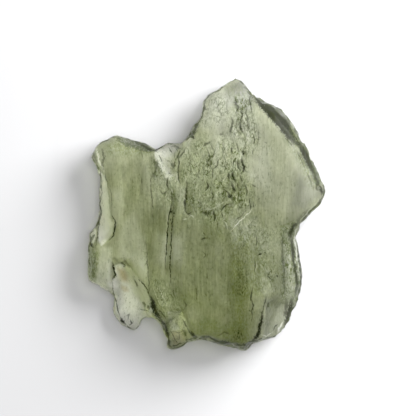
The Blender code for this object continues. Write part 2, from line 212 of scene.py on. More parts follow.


# Lines on the upper face, in the photograph's pixels: half width, darkness, and points.
# Dark lines are furrows, cut into the surface and painted with the shade they show through the glass. A
# darkness below nought is a pale raised line.
lines = {
    "shoulderPale": (1.6, -0.9, [(97, 149), (98, 155), (99, 161), (103, 168)]),
    "shoulderDark": (1.8, 0.5, [(102, 148), (104, 156), (102, 164), (104, 170)]),
    "shoulderLobe": (2.2, 0.45, [(94, 150), (94, 156), (96, 161), (98, 166)]),
    "shoulderBandB": (1.6, 0.8, [(138, 143), (144, 146), (149, 149), (155, 151)]),
    "ledgeTop": (0.9, 0.45, [(105, 173), (106, 178), (108, 184), (109, 189)]),
    "ledgeMiddle": (0.9, 0.4, [(110, 188), (111, 195), (112, 203), (112, 208)]),
    "ledgeLow": (1.2, 1.0, [(112, 216), (115, 222), (115, 230), (113, 236), (109, 240)]),
    "leftEdgeTop": (0.9, 0.6, [(100, 166), (100, 182), (102, 190), (101, 197)]),
    "leftEdgeLow": (1.1, 0.65, [(101, 206), (101, 214), (99, 222), (98, 230), (97, 240), (96, 246)]),
    "chipDark": (1.8, 1.0, [(88, 238), (90, 243), (93, 247)]),
    "panelA": (0.9, 0.35, [(141, 149), (142, 156), (143, 161)]),
    "panelB": (1.1, 0.4, [(141, 176), (142, 184)]),
    "panelC": (1.1, 0.5, [(151, 174), (151, 190), (152, 200), (153, 209)]),
    "panelD": (1.0, 0.3, [(152, 211), (153, 223)]),
    "panelE": (0.8, 0.65, [(147, 244), (147, 262), (148, 275), (149, 286), (151, 297)]),
    "twinA": (0.95, 0.95, [
        (172, 192), (171, 205), (169, 214), (168, 225), (167, 238), (166, 252), (165, 268)]),
    "twinB": (0.95, 0.95, [
        (170, 286), (170, 262), (171, 245), (171, 234), (172, 224), (173, 215), (174, 206)]),
    "ledgePale": (2.6, -0.9, [(104, 192), (106, 205), (106, 220), (108, 234)]),
    "notchPaleA": (1.6, -1.0, [(160, 153), (165, 156), (170, 153), (176, 151)]),
    "notchPaleB": (1.5, -1.0, [(166, 148), (173, 150), (180, 146), (185, 143)]),
    "notchPaleC": (1.4, -0.9, [(164, 160), (170, 164), (169, 171)]),
    "notchHatchA": (0.7, 0.8, [(169, 148), (172, 153)]),
    "notchHatchB": (0.7, 0.8, [(176, 148), (178, 153)]),
    "knotA": (1.9, 0.8, [(171, 210), (171, 213)]),
    "knotB": (1.3, 0.75, [(174, 212), (175, 214)]),
    "knotC": (1.1, 0.7, [(172, 216), (174, 217)]),
    "knotD": (1.0, 0.6, [(171, 218), (171, 221)]),
    "notchLine": (1.3, 0.7, [(178, 156), (179, 163), (178, 170), (178, 176), (180, 183)]),
    "notchShort": (1.2, 0.55, [(168, 177), (167, 184), (168, 190)]),
    "notchCrumbs": (1.3, 0.45, [(160, 190), (163, 194), (167, 191)]),
    "notchGreen": (2.0, 0.3, [(154, 161), (157, 166), (156, 170), (153, 175), (158, 177)]),
    "thickLine": (1.7, 0.65, [(187, 184), (186, 195), (185, 203), (185, 211)]),
    "thickHook": (1.2, 0.55, [(185, 211), (188, 214), (192, 212)]),
    "paleMarkA": (1.4, -0.7, [(184, 219), (187, 219)]),
    "paleMarkB": (1.0, -0.6, [(189, 217), (191, 215), (194, 218)]),
    "thinA": (0.8, 0.4, [(190, 155), (190, 165), (191, 173)]),
    "olive": (1.6, 0.6, [(203, 146), (206, 144), (210, 142)]),
    "crackA": (1.0, 0.6, [(207, 149), (209, 154), (209, 159), (207, 163)]),
    "crackB": (1.0, 0.55, [(206, 161), (208, 165), (207, 169)]),
    "crackC": (0.9, 0.5, [(212, 144), (212, 150)]),
    "crackD": (0.9, 0.5, [(215, 149), (214, 154), (211, 159)]),
    "crackE": (1.0, 0.5, [(211, 158), (210, 166), (213, 170), (212, 181)]),
    "crackF": (1.1, 0.6, [(219, 159), (217, 165), (214, 169)]),
    "oliveSpot": (1.5, 0.4, [(219, 134), (222, 134)]),
    "peakA": (0.9, 0.35, [(219, 98), (218, 106), (218, 113)]),
    "peakB": (0.9, 0.35, [(227, 103), (227, 112)]),
    "peakC": (1.5, 0.6, [(235, 98), (236, 104), (239, 107), (236, 113)]),
    "peakD": (1.1, 0.6, [(250, 92), (250, 102), (251, 107), (252, 114)]),
    "peakE": (1.5, 0.6, [(243, 107), (241, 112), (243, 115), (241, 119), (240, 123)]),
    "peakF": (1.1, 0.5, [(247, 108), (246, 113), (248, 118), (247, 123)]),
    "peakG": (1.5, 0.5, [(231, 117), (233, 122), (231, 128), (230, 134)]),
    "peakH": (1.5, 0.55, [(241, 122), (240, 127), (242, 131)]),
    "peakI": (1.0, 0.45, [(237, 119), (236, 127)]),
    "peakJ": (1.1, 0.45, [(250, 124), (247, 129)]),
    "peakPaleA": (1.2, -0.5, [(245, 110), (243, 118), (246, 124)]),
    "peakPaleB": (1.6, -0.45, [(246, 129), (249, 137), (247, 146)]),
    "sideA": (1.0, 0.45, [(258, 130), (259, 137), (257, 146)]),
    "sideB": (1.1, 0.5, [(253, 135), (255, 140), (254, 144)]),
    "sideC": (1.0, 0.45, [(253, 149), (253, 155)]),
    "sideSpot": (1.1, 0.5, [(265, 142), (266, 143)]),
    "pitA": (1.7, 1.0, [(243, 151), (244, 155)]),
    "pitB": (1.3, 0.7, [(232, 147), (232, 153)]),
    "crumbA": (1.7, 0.85, [(242, 157), (242, 162), (244, 167), (243, 171), (241, 174)]),
    "crumbB": (1.3, 0.75, [(238, 160), (238, 167), (240, 171)]),
    "crumbC": (1.8, 0.8, [(232, 171), (233, 177), (235, 182)]),
    "crumbD": (1.2, 0.65, [(228, 173), (229, 180)]),
    "crumbE": (1.9, 0.7, [(232, 183), (233, 188), (235, 192)]),
    "crumbF": (1.4, 0.6, [(237, 183), (238, 189)]),
    "crumbG": (1.6, 0.5, [(240, 175), (242, 182)]),
    "crumbH": (1.2, 0.6, [(234, 160), (233, 166)]),
    "crumbI": (1.3, 0.5, [(236, 143), (238, 148), (239, 152)]),
    "blob": (2.2, 0.95, [(229, 194), (231, 198)]),
    "blobSide": (1.3, 0.6, [(225, 190), (228, 193)]),
    "dotA": (1.4, 0.75, [(207, 182), (208, 187), (205, 191)]),
    "dotB": (1.1, 0.6, [(212, 191), (213, 196), (212, 200)]),
    "dotC": (1.2, 0.6, [(198, 176), (199, 178)]),
    "dotD": (1.1, 0.55, [(195, 182), (195, 184)]),
    "dotE": (1.2, 0.5, [(187, 182), (187, 184)]),
    "arcPale": (1.0, -0.3, [(198, 208), (208, 210), (215, 208), (222, 203), (229, 200)]),
    "arcUnder": (1.8, 0.55, [(202, 212), (207, 214), (208, 217)]),
    "ringDot": (1.1, 0.9, [(209, 213), (209, 214)]),
    "arcA": (1.4, 0.75, [(213, 211), (215, 216), (214, 222)]),
    "arcB": (1.4, 0.65, [(221, 211), (224, 207), (227, 204), (230, 204)]),
    "arcC": (1.2, 0.6, [(221, 213), (223, 218)]),
    "slopeA": (1.4, 0.5, [(245, 184), (247, 192), (246, 198)]),
    "slopeB": (1.1, 0.6, [(249, 198), (250, 205), (251, 210)]),
    "slopeC": (0.9, 0.5, [(253, 202), (254, 209)]),
    "slopeD": (1.3, 0.4, [(251, 184), (256, 187)]),
    "scratch": (1.0, -0.75, [(252, 209), (247, 215), (241, 220), (236, 225), (231, 231)]),
    "scratchShade": (1.2, 0.35, [(246, 211), (240, 217), (234, 222)]),
    "paleCurl": (0.9, -0.5, [(223, 221), (226, 224), (227, 229)]),
    "specks": (1.2, 0.65, [(201, 239), (204, 238), (208, 238)]),
    "speckA": (1.2, 0.5, [(203, 232), (205, 235)]),
    "speckB": (1.1, 0.45, [(217, 229), (218, 222)]),
    "thinB": (0.9, 0.55, [(256, 235), (257, 241), (257, 247)]),
    "pitC": (1.7, 1.0, [(259, 255), (261, 254)]),
    "pitD": (1.3, 0.5, [(264, 252), (266, 254)]),
    "ringLeft": (1.0, 0.5, [(272, 271), (269, 272), (268, 276), (270, 279), (274, 280)]),
    "ringDark": (1.3, 0.8, [(277, 275), (277, 277)]),
    "thinC": (0.9, 0.55, [(255, 260), (255, 268), (255, 273)]),
    "thinPale": (0.8, -0.4, [(257, 261), (256, 272)]),
    "bandEdge": (1.2, 0.6, [(253, 286), (251, 298), (253, 305), (252, 312), (252, 321)]),
    "facetTop": (1.0, 0.6, [(266, 296), (264, 306), (262, 315)]),
    "facetTwin": (0.8, 0.5, [(269, 300), (267, 306), (265, 313)]),
    "facetRidge": (2.1, 0.95, [(262, 312), (262, 318), (260, 325), (259, 332), (256, 338), (251, 343)]),
    "facetFoot": (1.1, 0.85, [(266, 338), (273, 337), (280, 335)]),
    "facetA": (1.1, 0.6, [(278, 324), (275, 327), (273, 331)]),
    "facetPale": (1.3, -0.7, [(283, 322), (279, 328), (277, 333)]),
    "facetPaleLow": (1.2, -0.6, [(262, 335), (266, 336), (272, 333)]),
    "sideMottle": (1.5, 0.4, [(283, 231), (282, 245), (283, 262), (284, 280), (285, 297)]),
    "sideDark": (2.0, 0.75, [
        (289, 231), (292, 240), (293, 252), (294, 262), (296, 272), (297, 284), (295, 297)]),
    "sideHollow": (2.4, 0.8, [(299, 222), (294, 226), (291, 232), (289, 239)]),
    "sideStrip": (1.0, -0.7, [(295, 231), (294, 240), (296, 250), (297, 260), (299, 268)]),
    "sideRim": (1.1, 0.9, [
        (299, 229), (297, 240), (298, 252), (300, 266), (301, 280), (300, 292), (296, 303)]),
    "sideLow": (3.2, 0.8, [(292, 299), (290, 308), (288, 317), (285, 325)]),
    "sideLowIn": (2.0, 0.5, [(286, 300), (286, 310), (285, 320)]),
    "cornerDark": (2.4, 0.85, [(319, 184), (322, 190), (322, 194)]),
    "cornerLine": (1.4, 0.8, [(322, 197), (318, 204), (311, 211), (304, 218), (300, 224)]),
    "cornerShade": (2.6, 0.4, [(309, 209), (303, 216), (298, 222), (292, 226)]),
    "cornerSpots": (1.5, 0.6, [(317, 182), (316, 188), (318, 191)]),
    "flankTop": (1.2, 0.5, [(207, 98), (204, 104), (205, 109), (209, 109)]),
    "flank": (2.2, 0.75, [(202, 116), (198, 122), (195, 129), (193, 136)]),
    "flankKnot": (2.0, 0.95, [(190, 135), (194, 138)]),
    "notchRimA": (1.2, 0.6, [(185, 149), (182, 154), (179, 158)]),
    "notchRimB": (1.4, 0.5, [(171, 147), (176, 146), (181, 149)]),
    "notchSpeckA": (1.2, 0.65, [(174, 155), (175, 158)]),
    "notchSpeckB": (1.1, 0.55, [(167, 160), (169, 161)]),
    "notchSpeckC": (1.3, 0.4, [(171, 163), (174, 168)]),
    "lobeCrack": (1.6, 1.0, [(113, 263), (114, 269), (115, 275), (113, 279)]),
    "lobeWall": (1.0, 0.65, [(112, 281), (113, 290), (115, 298), (117, 306), (119, 314), (121, 320)]),
    "lobeRimA": (1.6, 0.4, [(121, 262), (125, 261), (128, 265), (132, 269)]),
    "lobeTipA": (2.0, 0.9, [(121, 318), (123, 322), (125, 324)]),
    "lobeTipB": (1.3, 0.85, [(127, 326), (130, 329), (134, 331), (138, 328)]),
    "lobeTipC": (1.2, 0.7, [(130, 319), (132, 323), (130, 326)]),
    "lobeTipD": (0.9, 0.55, [(126, 316), (129, 314), (128, 320)]),
    "lobeTipPale": (1.5, -0.9, [(127, 321), (134, 325), (138, 321)]),
    "lobeFlank": (1.2, -0.8, [(140, 311), (146, 312), (151, 315)]),
    "lobeFlankDark": (0.9, 0.6, [(140, 309), (145, 310), (149, 312)]),
    "wedgeTop": (1.1, 0.9, [(139, 280), (144, 285), (148, 291), (150, 298)]),
    "wedge": (3.0, 1.0, [(151, 297), (153, 305), (156, 313), (161, 320)]),
    "wedgeFoot": (2.8, 0.85, [(158, 316), (164, 325), (167, 333), (168, 341), (170, 348)]),
    "wedgeEdge": (1.2, 0.6, [(157, 309), (162, 313), (166, 319)]),
    "wedgePaleA": (0.9, -0.5, [(152, 285), (157, 297), (161, 307)]),
    "wedgePaleB": (0.9, -0.5, [(158, 286), (163, 296), (167, 306)]),
    "wedgeSpark": (1.1, -0.8, [(163, 320), (165, 323)]),
    "bodyA": (1.0, 0.4, [(173, 289), (174, 297)]),
    "bodyB": (1.5, 0.4, [(184, 301), (187, 305), (184, 309)]),
    "bodyC": (1.1, 0.35, [(196, 287), (197, 296), (195, 302)]),
    "bodyD": (1.1, 0.35, [(207, 274), (207, 279)]),
    "bodyE": (1.2, 0.4, [(203, 252), (206, 255), (203, 258)]),
    "windowTop": (0.9, 0.3, [(170, 310), (175, 313), (180, 312)]),
    "windowRight": (1.3, 0.75, [(183, 320), (187, 327), (191, 336)]),
    "windowMiddle": (1.0, 0.45, [(173, 331), (179, 333), (184, 330), (188, 334)]),
    "windowA": (1.0, 0.6, [(171, 331), (175, 339), (179, 345)]),
    "windowB": (0.9, 0.45, [(180, 334), (178, 341)]),
    "windowFoot": (1.4, 0.7, [(170, 347), (177, 345), (184, 342)]),
    "footKnot": (2.4, 0.85, [(190, 331), (194, 336), (197, 338)]),
    "footRimA": (1.7, 0.75, [(197, 338), (209, 337), (214, 340), (221, 342)]),
    "footRimB": (1.7, 0.75, [(217, 341), (229, 343), (239, 345), (244, 347)]),
    "footTip": (2.0, 0.7, [(241, 345), (246, 345), (251, 342)]),
    "bevelCore": (3.2, 1.0, [
        (249, 92), (256, 98), (262, 105), (267, 111), (272, 117), (279, 124), (284, 131), (289, 137),
        (294, 143)]),
    "bevelCoreOut": (3.4, 0.85, [(262, 101), (269, 107), (276, 113), (283, 121), (289, 130)]),
    "bevelCoreLow": (3.0, 0.95, [(298, 144), (303, 152), (307, 158), (310, 165), (314, 173)]),
    "bevelLowEnd": (1.8, 0.6, [(314, 176), (318, 182), (319, 187)]),
    "bevelPaleIn": (0.9, -0.6, [(268, 115), (274, 121), (280, 129), (286, 137)]),
    "bevelPaleTop": (0.9, -0.5, [(261, 102), (265, 106)]),
    "bevelRim": (1.1, 0.75, [
        (258, 98), (266, 101), (275, 105), (281, 110), (291, 121), (295, 129), (300, 138), (307, 150)]),
    "bevelSpeckA": (1.1, 0.5, [(284, 135), (288, 141), (293, 147)]),
    "bevelSpeckB": (1.1, 0.5, [(297, 151), (301, 159), (305, 168)]),
    "bevelSpeckC": (1.1, 0.5, [(307, 172), (310, 180), (312, 187)]),
    "footA": (1.3, 0.45, [(217, 336), (224, 332), (229, 334)]),
    "rimPaleA": (1.6, -0.9, [(87, 278), (93, 282), (100, 285), (107, 289), (112, 295)]),
    "rimPaleB": (1.6, -0.9, [(112, 297), (112, 305), (115, 314), (120, 321), (127, 328), (134, 331)]),
    "rimPaleC": (1.5, -0.9, [(152, 317), (157, 322), (161, 330), (165, 340), (166, 347)]),
    "rimPaleD": (1.4, -0.8, [(86, 250), (86, 262), (87, 276)]),
}

# Patches of the upper face, in the photograph's pixels: softness of the edge, what is there, and outline.
# tint darkens the green, and makes it paler below nought. frost is a pale etched skin, stain is ochre,
# haze greys the green and on the right side and the peak is painted shade that takes off the key lamp's
# glare, and wrinkle and bare are how much the surface is wrinkled or smooth.
patches = {
    # painted shade: the bevels are tinted nearly black, as they look dark through the glass
    "longBevel": (0.8, {"tint": 1.0}, [
        (250, 91), (258, 97), (266, 100), (273, 104), (281, 109), (287, 116), (292, 121), (297, 130),
        (302, 139), (302, 144), (297, 146), (293, 141), (288, 136), (284, 130), (279, 124), (273, 118),
        (267, 111), (262, 106), (257, 101)]),
    "longBevelLow": (1.6, {"tint": 0.95}, [
        (299, 142), (304, 144), (309, 152), (313, 160), (317, 169), (320, 176), (320, 186), (316, 186),
        (313, 179), (308, 171), (304, 163), (301, 156), (300, 148)]),
    "bevelLight": (1.5, {"tint": -0.3}, [
        (287, 118), (292, 123), (299, 135), (302, 142), (298, 142), (291, 130)]),
    "ledge": (1.2, {"frost": 1.2, "tint": -1.0, "hazeAndShade": 0.15}, [
        (99, 172), (105, 176), (107, 190), (109, 205), (110, 218), (113, 224), (112, 233), (107, 240),
        (101, 246), (98, 235), (99, 220), (100, 205), (100, 190)]),
    "chip": (1.0, {"frost": 1.6, "tint": -1.0}, [
        (90, 229), (95, 226), (96, 232), (94, 241), (92, 244), (90, 238)]),
    "leftBevel": (2.4, {"tint": 0.7, "wrinkle": 0.6}, [
        (88, 243), (93, 247), (98, 250), (98, 262), (96, 275), (95, 282), (88, 280)]),
    "lobeFloor": (1.5, {"frost": 1.2, "bare": 0.6, "tint": -1.0, "wrinkle": 0.12}, [
        (115, 266), (121, 264), (129, 267), (136, 276), (143, 285), (148, 296), (151, 308), (151, 315),
        (141, 318), (138, 330), (124, 325), (116, 312), (113, 295), (113, 281), (116, 276)]),
    "lobeSlope": (4.0, {"hazeAndShade": 0.55}, [
        (132, 270), (139, 279), (149, 294), (151, 308), (141, 307), (133, 288)]),
    "stainBig": (3.2, {"stain": 1.0}, [
        (118, 268), (124, 269), (128, 275), (128, 282), (122, 281), (119, 275)]),
    "stainSmall": (1.8, {"stain": 0.7}, [(121, 285), (127, 286), (129, 291), (124, 292), (121, 289)]),
    "stainPeak": (2.5, {"stain": 0.45}, [(226, 151), (231, 153), (231, 159), (227, 158)]),
    "lowerLeft": (3.0, {"frost": 0.35}, [
        (99, 246), (112, 248), (112, 262), (111, 280), (114, 294), (97, 284), (97, 262)]),
    "besideLobe": (4.0, {"frost": 0.2, "bare": 0.4, "tint": -0.08}, [
        (121, 226), (134, 212), (144, 240), (146, 262), (146, 284), (139, 278), (132, 262), (118, 258)]),
    "notch": (2.0, {"frost": 1.4, "wrinkle": 0.15, "tint": -1.0}, [
        (155, 149), (166, 142), (183, 141), (187, 137), (191, 139), (187, 150), (182, 160), (177, 170),
        (171, 179), (165, 178), (161, 168), (156, 160)]),
    "bevelFoot": (4.0, {"wrinkle": 0.5, "tint": 0.25}, [
        (281, 128), (291, 139), (298, 148), (305, 160), (311, 172), (315, 188), (309, 186), (302, 170),
        (293, 154), (284, 140)]),
    "rightSmooth": (8.0, {"frost": 0.12, "bare": 1.0, "hazeAndShade": 0.2}, [
        (255, 104), (266, 114), (281, 130), (296, 152), (307, 176), (318, 194), (308, 206), (286, 214),
        (256, 208), (252, 180), (252, 150), (256, 125)]),
    "peakPale": (9.0, {"tint": -0.35, "frost": 0.5, "bare": 0.4, "wrinkle": 0.6, "hazeAndShade": 0.1}, [
        (220, 92), (232, 99), (230, 112), (226, 122), (205, 126), (196, 124), (199, 110), (208, 98)]),
    "peakBand": (8.0, {"frost": 0.2, "wrinkle": 1.0, "hazeAndShade": 0.2}, [
        (233, 95), (250, 94), (254, 115), (258, 146), (244, 158), (240, 140), (230, 132)]),
    "wrinkleTop": (8.0, {"wrinkle": 1.0}, [
        (226, 140), (246, 148), (246, 174), (252, 205), (240, 212), (226, 200), (222, 160)]),
    "wrinkleMiddle": (12.0, {"wrinkle": 0.8}, [
        (192, 142), (226, 140), (236, 200), (228, 228), (200, 222), (182, 214), (180, 176), (184, 150)]),
    "wrinkleLeft": (9.0, {"wrinkle": 0.65}, [(152, 158), (180, 160), (182, 214), (158, 206), (150, 180)]),
    "greyMottle": (6.0, {"wrinkle": 0.5, "frost": 0.1}, [
        (226, 214), (252, 206), (262, 230), (250, 244), (232, 242)]),
    "darkBand": (12.0, {"tint": 0.46}, [
        (236, 238), (252, 234), (256, 262), (254, 290), (250, 315), (246, 342), (232, 344), (230, 310),
        (231, 275)]),
    "darkBandCore": (8.0, {"tint": 0.06}, [(240, 272), (249, 270), (250, 318), (238, 322)]),
    "lightBand": (5.0, {"tint": -0.1}, [
        (211, 244), (227, 244), (228, 300), (218, 312), (206, 300), (208, 262)]),
    "footDark": (5.0, {"tint": 0.26}, [
        (190, 321), (214, 319), (228, 327), (252, 334), (252, 352), (236, 352), (212, 349), (188, 345)]),
    "windowPale": (1.5, {"frost": 1.3, "hazeAndShade": 0.5, "tint": -1.0, "wrinkle": 0.15}, [
        (168, 312), (180, 311), (185, 320), (187, 329), (172, 330)]),
    "windowLow": (2.0, {"stain": 0.65, "hazeAndShade": 0.2, "frost": 0.5, "wrinkle": 0.5}, [
        (172, 331), (187, 330), (190, 337), (184, 343), (174, 346)]),
    "facet": (2.0, {"hazeAndShade": 0.55, "bare": 1.0, "wrinkle": 0.3}, [
        (266, 302), (270, 298), (281, 300), (284, 312), (284, 324), (279, 333), (264, 337), (262, 326),
        (265, 314)]),
    "sidePale": (1.8, {"frost": 0.2, "wrinkle": 1.0}, [
        (284, 238), (289, 240), (290, 262), (293, 275), (293, 290), (290, 299), (286, 298), (285, 270)]),
    "sideMottled": (3.0, {"wrinkle": 1.0, "tint": 0.2, "hazeAndShade": 0.6}, [
        (280, 228), (298, 228), (301, 280), (296, 302), (282, 302)]),
    "sideSpeckled": (2.5, {"tint": 0.6, "wrinkle": 0.8}, [
        (281, 226), (296, 222), (298, 236), (300, 262), (302, 285), (298, 300), (292, 300), (295, 280),
        (291, 258), (286, 244), (281, 238)]),
    "rightHollow": (4.0, {"tint": 0.15}, [(288, 220), (300, 218), (299, 232), (286, 236)]),
    "centreShade": (16.0, {"tint": 0.14}, [(196, 240), (248, 236), (250, 330), (200, 330)]),
    "wedgeStreaks": (7.0, {"wrinkle": 0.75}, [
        (150, 280), (168, 282), (178, 300), (188, 330), (170, 330), (156, 305)]),
    "rightBody": (10.0, {"wrinkle": 0.5}, [(254, 226), (280, 226), (282, 296), (258, 296)]),
    # painted shade over the key lamp's glare on the right side, and a greyer tone
    "rightHazeAndShade": (10.0, {"hazeAndShade": 0.6}, [
        (296, 140), (322, 190), (302, 222), (304, 300), (286, 335), (268, 335), (284, 220), (290, 196)]),
    "peakHazeAndShade": (9.0, {"hazeAndShade": 1.2, "tint": 0.15}, [
        (222, 84), (240, 76), (256, 96), (250, 112), (228, 104)]),
    "tipShade": (6.0, {"hazeAndShade": 1.6}, [(228, 85), (240, 78), (250, 91), (245, 99), (232, 97)]),
    "middleLight": (12.0, {"tint": -0.24}, [
        (150, 160), (190, 140), (235, 135), (232, 180), (190, 186), (150, 205)]),
    "middleGreen": (10.0, {"tint": 0.2}, [(200, 200), (236, 194), (246, 244), (204, 240)]),
    "wrinkleLight": (10.0, {"tint": -0.35}, [
        (205, 122), (252, 116), (270, 150), (268, 190), (246, 180), (215, 165)]),
    "panelLeft": (6.0, {"tint": -0.3}, [(110, 190), (122, 190), (120, 222), (112, 226)]),
    "lowerEdge": (3.0, {"tint": -0.5}, [(88, 276), (112, 284), (114, 296), (104, 292), (92, 286)]),
    "bandRight": (8.0, {"tint": 0.32}, [(254, 254), (278, 258), (278, 288), (256, 292)]),
    "bodyShade": (8.0, {"tint": 0.3}, [(168, 292), (192, 292), (192, 306), (172, 308)]),
    "notchShade": (4.0, {"tint": 0.35}, [(150, 158), (158, 158), (160, 176), (152, 178)]),
    "lobeSide": (5.0, {"tint": -0.4}, [(126, 252), (148, 260), (150, 290), (139, 278)]),
    "footLight": (6.0, {"tint": -0.2}, [(222, 296), (262, 300), (258, 322), (224, 322)]),
    "besideTwin": (6.0, {"tint": -0.28}, [(156, 234), (184, 236), (184, 264), (158, 262)]),
    "shoulderBand": (2.0, {"tint": 0.75, "wrinkle": 0.3}, [
        (116, 137), (128, 138), (140, 142), (150, 147), (156, 151), (150, 153), (138, 150), (124, 146)]),
    # painted shade over the key lamp's glare along the bevel's edge
    "edgeGlareShade": (5.0, {"hazeAndShade": 0.7}, [
        (276, 116), (296, 140), (308, 165), (318, 190), (302, 190), (290, 152), (272, 122)]),
    "panelTop": (6.0, {"tint": 0.4, "hazeAndShade": 0.4, "wrinkle": 0.35}, [
        (104, 144), (118, 138), (150, 150), (148, 155), (125, 157), (108, 155)]),
    "cornerHazeAndShade": (6.0, {"hazeAndShade": 1.0, "tint": 0.1}, [
        (298, 172), (318, 174), (324, 192), (306, 212), (290, 206)]),
    "panelShade": (7.0, {"tint": 0.14}, [(124, 182), (138, 180), (142, 196), (130, 200), (122, 194)]),
}


# where the camera sees points given in mm, in the photograph's pixels
def inPicture(points):
    lookX, lookY, lookZ = shot["lookAt"]
    spread = cameraDistance() / (cameraDistance() - (points[:, 2] - lookZ))
    pixel = shot["frameWidth"] / shot["pixels"]
    middle = shot["pixels"] / 2.0
    return np.column_stack([
        middle + (points[:, 0] - lookX) * spread / pixel,
        middle - (points[:, 1] - lookY) * spread / pixel,
    ])


def unevenness(points, size, shift=0.0):
    return np.array([noise.noise(p) for p in (points / np.array(size) + shift).tolist()])


# 0 on the ridges between cups and 1 inside them
def cupDepth(points, size):
    found = [noise.voronoi(p)[0] for p in (points / size).tolist()]
    return smooth(0.0, 0.5, np.array([distances[1] - distances[0] for distances in found]))


# the distance from a line, how far along it the nearest place is, from 0 to 1, and on which side of it
def lineGap(seen, points):
    line = np.array(points, dtype=float)
    start, step = line[:-1], np.diff(line, axis=0)
    length = np.linalg.norm(step, axis=1)
    before = np.concatenate([[0.0], np.cumsum(length)[:-1]])
    offset = seen[:, None] - start
    along = np.clip((offset * step).sum(2) / length ** 2, 0.0, 1.0)
    gap = np.linalg.norm(offset - along[..., None] * step, axis=2)
    nearest = gap.argmin(1)
    rows = np.arange(len(seen))
    offset, step = offset[rows, nearest], step[nearest]
    side = np.where(offset[:, 0] * step[:, 1] < offset[:, 1] * step[:, 0], -1.0, 1.0)
    return gap[rows, nearest], (before + along * length)[rows, nearest] / length.sum(), side


def insideOf(seen, points):
    line = np.array(points, dtype=float)
    following = np.roll(line, -1, axis=0)
    x, y = seen[:, :1], seen[:, 1:]
    crosses = (line[:, 1] > y) != (following[:, 1] > y)
    rise = following[:, 1] - line[:, 1]
    rise[rise == 0.0] = 1e-9  # level sides are never crossed, and mustn't divide by nought
    right = x < line[:, 0] + (y - line[:, 1]) / rise * (following[:, 0] - line[:, 0])
    return (crosses & right).sum(1) % 2 == 1


def near(seen, points, reach):
    low, high = np.min(points, axis=0) - reach, np.max(points, axis=0) + reach
    return np.nonzero(((seen > low) & (seen < high)).all(1))[0]


# the drawing of the lines
pen = {
    "blur": 1.0,  # pixels, how much wider than the line its soft dark is
    "endShare": 0.5,  # how wide and dark a line still is at its ends
    "endRange": (-0.05, 0.3),  # shares of the line between which it grows to its full width
    "inkShare": (0.27, 0.3),  # share of the half width that is ink, and how much more for each pixel of it
    "farthest": 3.0,  # half widths, beyond which the distance from a line doesn't matter
    "search": (4.0, 2.0),  # half widths, and pixels more, beyond which a line isn't looked at
}


# how much dark and pale the lines lay on each point, and the distance from the line on its left or right
def paintLines(seen):
    laid = {name: np.zeros(len(seen)) for name in ("dark", "pale")}
    gaps = {name: np.full(len(seen), pen["farthest"]) for name in ("dark", "pale")}
    share, more = pen["inkShare"]
    times, extra = pen["search"]
    for half, darkness, points in lines.values():
        name = "dark" if darkness > 0.0 else "pale"
        rows = near(seen, points, times * half + extra)
        gap, along, side = lineGap(seen[rows], points)
        ends = smooth(*pen["endRange"], along) * smooth(*pen["endRange"], 1.0 - along)
        width = pen["endShare"] + (1.0 - pen["endShare"]) * ends
        value = np.exp(-(gap / (half + pen["blur"])) ** 2) * width * abs(darkness)
        signed = side * gap / (half * width * min(1.0, share + more * half))
        darker = value > laid[name][rows]
        laid[name][rows[darker]] = value[darker]
        gaps[name][rows[darker]] = np.clip(signed[darker], -pen["farthest"], pen["farthest"])
    return laid, gaps


# how much of each thing the patches lay on each point: tints add up, and of the others the most counts
def paintPatches(seen):
    laid = {name: np.zeros(len(seen)) for name in ("tint", "frost", "stain", "hazeAndShade", "wrinkle", "bare")}
    for softness, things, points in patches.values():
        rows = near(seen, points, softness)
        gap = lineGap(seen[rows], points + points[:1])[0]
        gap = np.where(insideOf(seen[rows], points), gap, -gap)
        share = smooth(-softness, softness, gap)
        for name, amount in things.items():
            held = laid[name][rows]
            laid[name][rows] = held + share * amount if name == "tint" else np.maximum(held, share * amount)
    return laid


stone = {
    "cell": 0.12,  # mm, the fineness of its upper surface
    "evenRounds": 5,  # smoothing that takes the facets off
    "kept": 0.63,  # share of all the faces that is left once the sides and the underside are made coarser
    "coarse": 0.1,  # faces that turn up less than this are made coarser
    "steep": 0.25,  # faces that turn up or down less than this are the sides
    "grain": (0.35, 0.018),  # mm, size and height of the etching all over
    "flow": (0.5, 7.0, 0.035),  # mm, width, length and height of the flow lines
    "bumps": ((0.55, 0.8, 0.6), 0.05),  # mm, size and height of the bumps where it's wrinkled
    "squiggle": (0.6, 1.1),  # mm, width and length of the wrinkles
    "winding": (0.8, 0.35),  # mm, over what size the wrinkles wind, and how far
    "broken": 0.9,  # mm, over what size the wrinkles break off
    "thin": 0.09,  # the wrinkles are thinner with less
    "furrow": 0.055,  # mm, depth of the deepest lines
    "furrowShares": (0.85, 0.4),  # of that depth, for a line and for a wrinkle
    "calming": 0.75,  # how much the flow lines and the etching fade where it's bare
    "ridge": 0.06,  # mm, height of the pale lines
    "chips": (0.8, 0.13),  # mm, size and depth of the breaks along the sides
    "cups": (1.3, 0.10),  # mm, size and depth of the small cups underneath
    "cupRidge": 0.6,  # share of a chip's or cup's depth that its ridges stand up
    "clear": (0.05, 0.5),  # mm above the table, where the cups begin and where they are full
    "wander": (0.6, 0.05),  # mm, over what size the lines and patches stray, and how far
    "rim": 0.14,  # mm, width of the rim's painted shade
    "rimShade": (0.6, 0.9, 0.7),  # how dark the rim's painted shade is, how much that varies, and over what size in mm
    "hollow": 0.12,  # mm, depth at which the painted shade of a hollow is darkest
    "hollowShade": (0.36, 0.35),  # how dark that painted shade is on the sides and underneath
    "paintedCrestLight": 0.06,  # mm, height at which a crest's painted highlight is brightest
    "crestLightShare": 0.25,  # how pale that painted highlight is
    "paleShade": 1.5,  # how much a pale line takes off the painted shade of the rim
}

